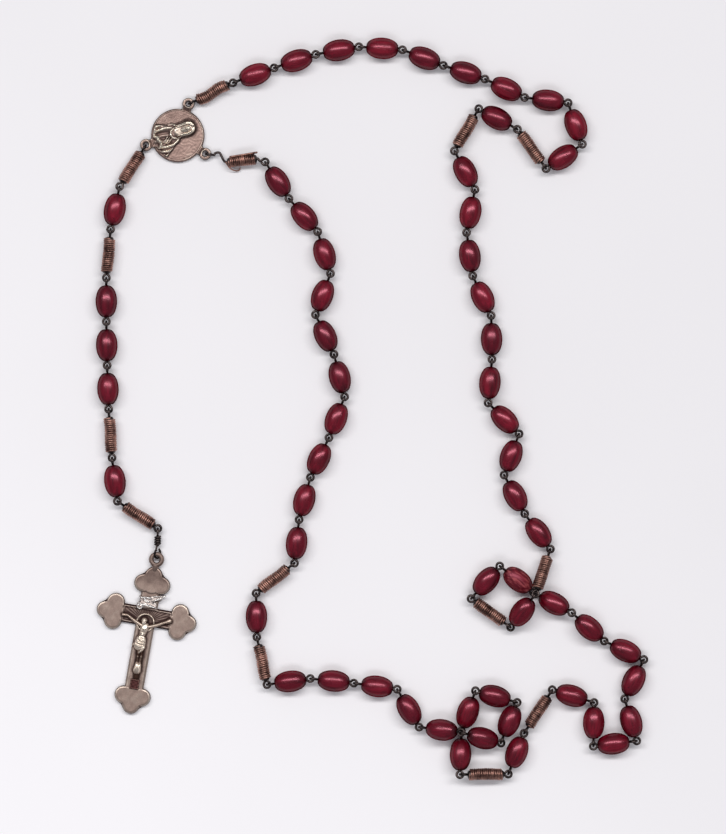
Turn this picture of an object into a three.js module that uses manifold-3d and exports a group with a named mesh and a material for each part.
// A five-decade rosary of oval wooden beads, laid out flat on a table.
// Every bead and every coil is strung on its own wire pin with an eye at each end, and each
// eye hooks straight into the next one. Two strands leave the round centre medal and meet at
// the far side of the loop, and the pendant strand ends in a wrapped wire link and a crucifix.
// Millimetres, +Z up. The origin is the middle of the laid-out rosary, on the table.

import * as THREE from "three";
import { mergeVertices } from "three/addons/utils/BufferGeometryUtils.js";
import Module from "manifold-3d";

// ---------------------------------------------------------------- driving dimensions
// Wire eye: mean radius of the ring and radius of the wire. A pin's first eye stands upright
// and its last eye lies flat, so that each eye can hook into its neighbour.
const EYE = { ring: 0.9, wire: 0.3, steps: 8, sides: 4 };
const SHANK = { wire: 0.35, sides: 4, seat: 0.1, grip: 0.3 }; // seat: gap between eye and bead
const BEAD = { length: 8.8, radius: 3, bellyHalf: 1.2, shoulderAt: 3.3, shoulder: 2.45 };
const BEAD_END = { radius: 1.3, bore: 0.6 };
const BEAD_SIDES = 8;
const COIL = { length: 10.2, radius: 1.75, sides: 10 };
const LONG_SHANK = 3.2; // extra wire ahead of the coil that has partly come unwound
const NECK = { radius: 0.45, overlap: 0.25 }; // the hooked eyes inside a pair of beads

const MEDAL = { radius: 7.5, thickness: 1.8, edge: 0.35, sides: 20, at: [-54.43, 76.95] };
const MEDAL_EYE = { ring: 1.15, wire: 0.35, distance: 9.3, height: 1.6, neckWidth: 1.7 };
const MEDAL_EYES = { outer: 71, inner: -34, pendant: 197 }; // directions from its centre, degrees
const MEDAL_UP = 18; // direction of the top of the bust on the medal, degrees

const CROSS = { barWidth: 5.3, thickness: 1.8, bevel: 0.3, heading: -100 };
const TREFOIL = { side: 2.5, sideOffset: 2.6, end: 2.4, endAhead: 2.6 };
// How far the side lobes of each trefoil lie from the middle of the crossing.
const ARM_REACH = { foot: 22.7, left: 9.2, head: 9.2, right: 9.2 };
const CROSS_RING = { ring: 1.6, wire: 0.6, toCentre: 16.25, height: 1.45 };
const CROSS_NECK = { length: 1.4, width: 1.8, thickness: 1 }; // joins the ring to the head
const LIMB_SIDES = 5;
const SEAM = 0.15; // gap under pieces that sit on the cross
const LINK = { span: 6.4, wrap: 0.8, wrapLength: 2.4, wrapAt: 2.4, eye: 1.1 };

// ---------------------------------------------------------------- how it lies
// Heading of every link in whole degrees, seen from above: 0 is +X and 90 is +Y.
const OUTER_STRAND = {
  coil_01: [25],
  decade_1: [20, 18, 10, -4, -21, -18, -25, -7, -71, -146],
  coil_02: [126],
  our_father_1: [152],
  coil_03: [-120],
  decade_2: [-62, -101, -82, -65, -89, -95, -45, -110, -62, -54],
  coil_04: [-109],
  our_father_2: [-126],
  coil_05: [144],
  decade_3: [49, -38, -28, -41, -25, -116, -74, -173, 89, 163],
};
const INNER_STRAND = {
  coil_10: [-8],
  decade_5: [-57, -49, -73, -110, -65, -76, -111, -115, -105, -96],
  coil_09: [-142],
  our_father_4: [-89],
  coil_08: [-78],
  decade_4: [8, -6, -8, -60, -6, -16, 68, 164, -109, -92],
  coil_07: [0],
  our_father_3: [69],
  coil_06: [57],
};
const PENDANT_STRAND = {
  pendant_coil_1: [-122],
  pendant_1: [-102],
  pendant_coil_2: [-95],
  pendant_2: [-90],
  pendant_3: [-89],
  pendant_4: [-88],
  pendant_coil_3: [-86],
  pendant_5: [-83],
  pendant_coil_4: [-34],
  wrapped_link: [-91],
};
// Beads rest on their bellies, so the pins lie one bead radius up. The exceptions are where
// one strand climbs over another: height of the last eye of a link, by name and place in it.
const LYING = BEAD.radius + 0.05;
const HEIGHTS = {
  coil_04: [6.4],
  decade_3: [4.4, 2.35, 4.4, 3.15],
  decade_4: [LYING, LYING, LYING, LYING, 6.4, LYING, LYING, 4.4, 2.35, 4.4],
  pendant_coil_4: [2.2],
  wrapped_link: [CROSS_RING.height],
};

// ---------------------------------------------------------------- materials
const finish = (color, roughness, metalness) =>
  new THREE.MeshStandardMaterial({ color, roughness, metalness });
const BEAD_WOOD = finish(0x7a1024, 0.3, 0);
const COPPER_COIL = finish(0x7b5546, 0.45, 0.9);
const DARK_WIRE = finish(0x3c3536, 0.4, 0.9);
const MEDAL_METAL = finish(0xb59c90, 0.4, 0.9);
const CROSS_BRONZE = finish(0x857468, 0.45, 0.9);
const CORPUS_METAL = finish(0xd2c6a6, 0.35, 0.9);
const PLAQUE_ENAMEL = finish(0x4a2a2c, 0.6, 0.3);

// ---------------------------------------------------------------- joining solids
const wasm = await Module();
wasm.setup();

function toSolid(geometry) {
  const bare = geometry.clone();
  bare.deleteAttribute("normal");
  bare.deleteAttribute("uv");
  const merged = mergeVertices(bare, 1e-4);
  return new wasm.Manifold(
    new wasm.Mesh({
      numProp: 3,
      vertProperties: merged.attributes.position.array,
      triVerts: new Uint32Array(merged.index.array),
    }),
  );
}

function toGeometry(solid) {
  const mesh = solid.getMesh();
  const geometry = new THREE.BufferGeometry();
  geometry.setAttribute("position", new THREE.BufferAttribute(mesh.vertProperties, 3));
  geometry.setIndex(new THREE.BufferAttribute(mesh.triVerts, 1));
  geometry.computeVertexNormals();
  return geometry;
}

const join = (...geometries) =>
  toGeometry(geometries.map(toSolid).reduce((whole, piece) => whole.add(piece)));

// ---------------------------------------------------------------- small shapes along X
// A closed solid turned about X from [radius, x] points; a flat side faces down.
function turned(profile, sides) {
  const points = profile.map(([radius, x]) => new THREE.Vector2(radius, x));
  return new THREE.LatheGeometry(points, sides, Math.PI / sides).rotateZ(-Math.PI / 2);
}

function rod(radius, from, to, sides = SHANK.sides) {
  return turned([[0, from], [radius, from], [radius, to], [0, to]], sides);
}

const flatEye = (x, ring = EYE.ring, wire = EYE.wire) =>
  new THREE.TorusGeometry(ring, wire, EYE.sides, EYE.steps).translate(x, 0, 0);

const uprightEye = (ring = EYE.ring, wire = EYE.wire) =>
  new THREE.TorusGeometry(ring, wire, EYE.sides, EYE.steps).rotateX(Math.PI / 2);

function ball(radii, at, turn = 0) {
  return new THREE.SphereGeometry(1, 8, 5)
    .rotateX(Math.PI / 2)
    .scale(...radii)
    .rotateZ(turn)
    .translate(...at);
}

// ---------------------------------------------------------------- links
const EYE_REACH = EYE.ring + EYE.wire + SHANK.seat; // from an eye's centre to its bead's face
const BEAD_SPAN = BEAD.length + 2 * EYE_REACH; // from the first eye's centre to the last one's
const COIL_SPAN = COIL.length + 2 * EYE_REACH;

// The bead's outline from one end to the other, as [radius, x] with flats at the true radius.
function beadOutline() {
  const corner = 1 / Math.cos(Math.PI / BEAD_SIDES);
  const half = BEAD.length / 2;
  return [
    [BEAD_END.radius, -half],
    [BEAD.shoulder, -BEAD.shoulderAt],
    [BEAD.radius, -BEAD.bellyHalf],
    [BEAD.radius, BEAD.bellyHalf],
    [BEAD.shoulder, BEAD.shoulderAt],
    [BEAD_END.radius, half],
  ].map(([radius, x]) => [radius * corner, x + BEAD_SPAN / 2]);
}

function solidBead() {
  const outline = beadOutline();
  return turned([[0, outline[0][1]], ...outline, [0, outline.at(-1)[1]]], BEAD_SIDES);
}

function boredBead() {
  const outline = beadOutline();
  const bore = BEAD_END.bore / Math.cos(Math.PI / BEAD_SIDES);
  const first = outline[0][1];
  const last = outline.at(-1)[1];
  return turned([[bore, first], ...outline, [bore, last], [bore, first]], BEAD_SIDES);
}

const firstShank = (to = EYE_REACH) => rod(SHANK.wire, EYE.ring, to + SHANK.grip);
const lastShank = (span) => rod(SHANK.wire, span - EYE_REACH - SHANK.grip, span - EYE.ring);

const strungBead = () =>
  join(uprightEye(), firstShank(), solidBead(), lastShank(BEAD_SPAN), flatEye(BEAD_SPAN));

const eyePin = () =>
  join(uprightEye(), rod(EYE.wire, EYE.ring, BEAD_SPAN - EYE.ring), flatEye(BEAD_SPAN));

// Two neighbouring beads, with the hooked eyes between them drawn as a bent neck.
function beadPair(turn) {
  const placed = (geometry) => geometry.applyMatrix4(turn);
  const neckTo = BEAD_SPAN + NECK.overlap;
  const neckFrom = -EYE.ring - NECK.overlap;
  return join(
    uprightEye(),
    firstShank(),
    solidBead(),
    rod(NECK.radius, BEAD_SPAN - EYE_REACH - SHANK.grip, neckTo),
    placed(rod(NECK.radius, neckFrom, EYE_REACH + SHANK.grip)),
    placed(solidBead()),
    placed(lastShank(BEAD_SPAN)),
    placed(flatEye(BEAD_SPAN)),
  );
}

// A close-wound coil on its wire pin. lead is bare wire ahead of the coil.
function coil({ lead = 0, lastUpright = false } = {}) {
  const from = EYE_REACH + lead;
  const sleeve = rod(COIL.radius, from, from + COIL.length, COIL.sides);
  const span = COIL_SPAN + lead;
  const lastEye = lastUpright ? uprightEye().translate(span, 0, 0) : flatEye(span);
  return join(uprightEye(), firstShank(from), sleeve, lastShank(span), lastEye);
}

function wrappedLink() {
  const wrapTo = LINK.wrapAt + LINK.wrapLength;
  return join(
    uprightEye(),
    rod(SHANK.wire, EYE.ring, LINK.span - LINK.eye),
    rod(LINK.wrap, LINK.wrapAt - LINK.wrapLength / 2, wrapTo - LINK.wrapLength / 2, 8),
    uprightEye(LINK.eye).translate(LINK.span, 0, 0),
  );
}

// ---------------------------------------------------------------- laying the links
const rosary = new THREE.Group();
const heading = (degrees) => {
  const angle = THREE.MathUtils.degToRad(degrees);
  return new THREE.Vector3(Math.cos(angle), Math.sin(angle), 0);
};

// The place of a link that hooks into the flat eye `hold` and runs on `degrees` to `height`.
// Its frame has X along the pin, Z up and its origin at the middle of its first eye.
function hookOn(hold, degrees, span, height) {
  const level = heading(degrees);
  const along = level.clone().projectOnPlane(hold.normal).setLength(hold.ring);
  const start = hold.at.clone().add(along);
  const rise = (height - start.z) / span;
  const ahead = level.multiplyScalar(Math.sqrt(1 - rise * rise)).setZ(rise);
  const side = new THREE.Vector3(0, 0, 1).cross(ahead).normalize();
  const up = ahead.clone().cross(side);
  const place = new THREE.Matrix4().makeBasis(ahead, side, up).setPosition(start);
  const next = { at: start.addScaledVector(ahead, span), normal: up, ring: EYE.ring };
  return { place, next };
}

function add(name, geometry, material, place, group = rosary) {
  const mesh = new THREE.Mesh(geometry, material);
  mesh.name = name;
  if (place) mesh.applyMatrix4(place);
  group.add(mesh);
}

function layDecade(name, hold, headings, heights, countsDown) {
  let from = hold;
  for (let i = 0; i < headings.length; i += 2) {
    const [first, second] = [i, i + 1].map((k) => {
      const laid = hookOn(from, headings[k], BEAD_SPAN, heights[k] ?? LYING);
      from = laid.next;
      return laid.place;
    });
    const turn = first.clone().invert().multiply(second);
    const low = countsDown ? headings.length - 1 - i : i + 1;
    add(`${name}_beads_${low}_${low + 1}`, beadPair(turn), BEAD_WOOD, first);
  }
  return from;
}

function layStrand(strand, firstHold, countsDown = false) {
  let hold = firstHold;
  for (const [name, headings] of Object.entries(strand)) {
    const heights = HEIGHTS[name] ?? [];
    if (name.startsWith("decade")) {
      hold = layDecade(name, hold, headings, heights, countsDown);
      continue;
    }
    const unwound = name === "coil_10";
    const isCoil = name.includes("coil");
    const spans = { coil: COIL_SPAN + (unwound ? LONG_SHANK : 0), link: LINK.span };
    const span = isCoil ? spans.coil : name === "wrapped_link" ? spans.link : BEAD_SPAN;
    const { place, next } = hookOn(hold, headings[0], span, heights[0] ?? LYING);
    if (isCoil) {
      const shape = { lead: unwound ? LONG_SHANK : 0, lastUpright: name === "coil_06" };
      add(name, coil(shape), COPPER_COIL, place);
    } else if (name === "wrapped_link") {
      add(name, wrappedLink(), DARK_WIRE, place);
    } else if (name.startsWith("pendant")) {
      add(name.replace("pendant", "pendant_pin"), eyePin(), DARK_WIRE, place);
      add(name.replace("pendant", "pendant_bead"), boredBead(), BEAD_WOOD, place);
    } else {
      add(`${name}_bead`, strungBead(), BEAD_WOOD, place);
    }
    hold = next;
  }
  return hold;
}

// ---------------------------------------------------------------- centre medal
// The medal lies face up. Its three eyes lie flat and its face carries a low bust.
const medalCentre = new THREE.Vector3(...MEDAL.at, 0);

function medalHold(eye) {
  const out = heading(MEDAL_EYES[eye]);
  const at = medalCentre.clone().addScaledVector(out, MEDAL_EYE.distance);
  return { at: at.setZ(MEDAL_EYE.height), normal: new THREE.Vector3(0, 0, 1), ring: MEDAL_EYE.ring };
}

function medal() {
  const { radius, thickness, edge, sides } = MEDAL;
  const disc = new THREE.LatheGeometry(
    [
      new THREE.Vector2(0, 0),
      new THREE.Vector2(radius - edge, 0),
      new THREE.Vector2(radius, edge),
      new THREE.Vector2(radius, thickness - edge),
      new THREE.Vector2(radius - edge, thickness),
      new THREE.Vector2(0, thickness),
    ],
    sides,
  ).rotateX(Math.PI / 2);
  const neckLength = MEDAL_EYE.distance - MEDAL_EYE.ring - radius + 1.2;
  const necks = Object.values(MEDAL_EYES).map((degrees) =>
    new THREE.BoxGeometry(neckLength, MEDAL_EYE.neckWidth, 2 * MEDAL_EYE.wire)
      .translate(MEDAL_EYE.distance - MEDAL_EYE.ring - neckLength / 2, 0, MEDAL_EYE.height)
      .rotateZ(THREE.MathUtils.degToRad(degrees)),
  );
  const eyes = Object.values(MEDAL_EYES).map((degrees) =>
    flatEye(MEDAL_EYE.distance, MEDAL_EYE.ring, MEDAL_EYE.wire)
      .translate(0, 0, MEDAL_EYE.height)
      .rotateZ(THREE.MathUtils.degToRad(degrees)),
  );
  const up = THREE.MathUtils.degToRad(MEDAL_UP);
  const head = ball([1.9, 1.5, 0.8], [3.4, 0, thickness]).rotateZ(up);
  const shoulders = ball([3.6, 4.4, 0.6], [-2.2, 0, thickness]).rotateZ(up);
  return join(disc, ...necks, ...eyes, head, shoulders);
}

add("medal", medal(), MEDAL_METAL, new THREE.Matrix4().setPosition(medalCentre));
layStrand(OUTER_STRAND, medalHold("outer"));
layStrand(INNER_STRAND, medalHold("inner"), true);
const lastHold = layStrand(PENDANT_STRAND, medalHold("pendant"));

// ---------------------------------------------------------------- crucifix
// Its frame has X running down the post to the foot, Y across the arms, Z up, and its origin
// at the near side of its ring, where the wrapped link's last eye holds it.

// Where two circles on the same arm meet, on the side away from the arm's axis.
function lobesMeet(reach) {
  const { side, sideOffset, end, endAhead } = TREFOIL;
  const gap = Math.hypot(endAhead, sideOffset);
  const fromSide = (side * side - end * end + gap * gap) / (2 * gap);
  const height = Math.sqrt(side * side - fromSide * fromSide);
  const ahead = endAhead / gap;
  const across = sideOffset / gap;
  return {
    x: reach + fromSide * ahead + height * across,
    y: sideOffset - fromSide * across + height * ahead,
  };
}

// The cross's outline: straight bars that end in trefoils of three round lobes.
function crossOutline() {
  const half = CROSS.barWidth / 2;
  const { side, sideOffset, end, endAhead } = TREFOIL;
  const shape = new THREE.Shape();
  Object.values(ARM_REACH).forEach((reach, quarter) => {
    const turn = (quarter * Math.PI) / 2;
    const rotate = (x, y) => [
      x * Math.cos(turn) - y * Math.sin(turn),
      x * Math.sin(turn) + y * Math.cos(turn),
    ];
    const arc = (x, y, radius, from, to) =>
      shape.absarc(...rotate(x, y), radius, from + turn, to + turn, false);
    const meet = lobesMeet(reach);
    const sideFrom = Math.asin((sideOffset - half) / side) + Math.PI;
    const sideTo = Math.atan2(meet.y - sideOffset, meet.x - reach);
    const endTo = Math.atan2(meet.y, meet.x - reach - endAhead);
    const corner = rotate(half, -half);
    if (quarter === 0) shape.moveTo(...corner);
    else shape.lineTo(...corner);
    arc(reach, -sideOffset, side, -sideFrom, -sideTo);
    arc(reach + endAhead, 0, end, -endTo, endTo);
    arc(reach, sideOffset, side, sideTo, sideFrom);
  });
  return shape;
}

function cross() {
  const { thickness, bevel } = CROSS;
  const plate = new THREE.ExtrudeGeometry(crossOutline(), {
    depth: thickness - 2 * bevel,
    bevelThickness: bevel,
    bevelSize: bevel,
    bevelOffset: -bevel,
    bevelSegments: 1,
    curveSegments: 2,
  }).translate(crossCentre, 0, bevel);
  const { ring, wire, height } = CROSS_RING;
  const { length, width, thickness: neckHeight } = CROSS_NECK;
  return join(
    plate,
    new THREE.TorusGeometry(ring, wire, 6, 14).translate(ring, 0, height),
    new THREE.BoxGeometry(length, width, neckHeight).translate(
      2 * ring + length / 2,
      0,
      CROSS.thickness - bevel - neckHeight / 2,
    ),
  );
}

const crossCentre = CROSS_RING.ring + CROSS_RING.toCentre;
const onCross = CROSS.thickness + SEAM;

// A rod between two points, for the limbs.
function limb(from, to, radius) {
  const start = new THREE.Vector3(...from);
  const ahead = new THREE.Vector3(...to).sub(start);
  const place = new THREE.Matrix4()
    .makeRotationFromQuaternion(
      new THREE.Quaternion().setFromUnitVectors(
        new THREE.Vector3(1, 0, 0),
        ahead.clone().normalize(),
      ),
    )
    .setPosition(start);
  return rod(radius, -0.1, ahead.length() + 0.1, LIMB_SIDES).applyMatrix4(place);
}

// The figure: its back clears the cross by the seam, and everything lies on one level.
function corpus() {
  const level = onCross + 0.75;
  const at = (x, y, z = level) => [crossCentre + x, y, z];
  return join(
    ball([1.15, 0.95, 0.75], at(1.6, -0.2)),
    new THREE.TorusGeometry(2.3, 0.25, 4, 12).translate(...at(1.6, -0.2, onCross + 0.3)),
    limb(at(-0.6, -0.2, onCross + 0.3), at(3, -0.1, onCross + 0.3), 0.25),
    ball([2.7, 1.35, 0.75], at(4.9, -0.2)),
    limb(at(2.9, -0.9), at(0.5, -6.2), 0.55),
    limb(at(2.9, 0.7), at(0.1, 6.6), 0.55),
    ball([2, 1.9, 0.8], at(7.6, -0.3)),
    limb(at(8.2, -0.6), at(11.6, -0.7), 0.65),
    limb(at(8.2, 0.4), at(11.6, 0.5), 0.65),
    limb(at(11.4, -0.6), at(14.4, -0.3), 0.55),
    limb(at(11.4, 0.5), at(14.4, 0.2), 0.55),
    ball([1.5, 1.3, 0.8], at(14.8, -0.1)),
  );
}

// The title above the head: a plain strip with a curl at each end, set askew.
function titleScroll() {
  return join(
    new THREE.BoxGeometry(2.2, 7.4, 0.6),
    rod(0.55, -1.3, 1.3, 8).translate(0, 3.8, 0.1),
    rod(0.55, -1.3, 1.3, 8).translate(0, -3.8, 0.1),
  )
    .rotateZ(THREE.MathUtils.degToRad(24))
    .translate(crossCentre - 4.2, 0.2, onCross + 0.5);
}

function footPlaque() {
  return new THREE.BoxGeometry(2.8, 2.2, 0.5).translate(crossCentre + 19.2, 0, onCross + 0.25);
}

const crucifix = new THREE.Group();
crucifix.position.set(lastHold.at.x, lastHold.at.y, 0);
crucifix.rotation.z = THREE.MathUtils.degToRad(CROSS.heading);
add("cross", cross(), CROSS_BRONZE, null, crucifix);
add("corpus", corpus(), CORPUS_METAL, null, crucifix);
add("title_scroll", titleScroll(), CORPUS_METAL, null, crucifix);
add("foot_plaque", footPlaque(), PLAQUE_ENAMEL, null, crucifix);
rosary.add(crucifix);

export default rosary;
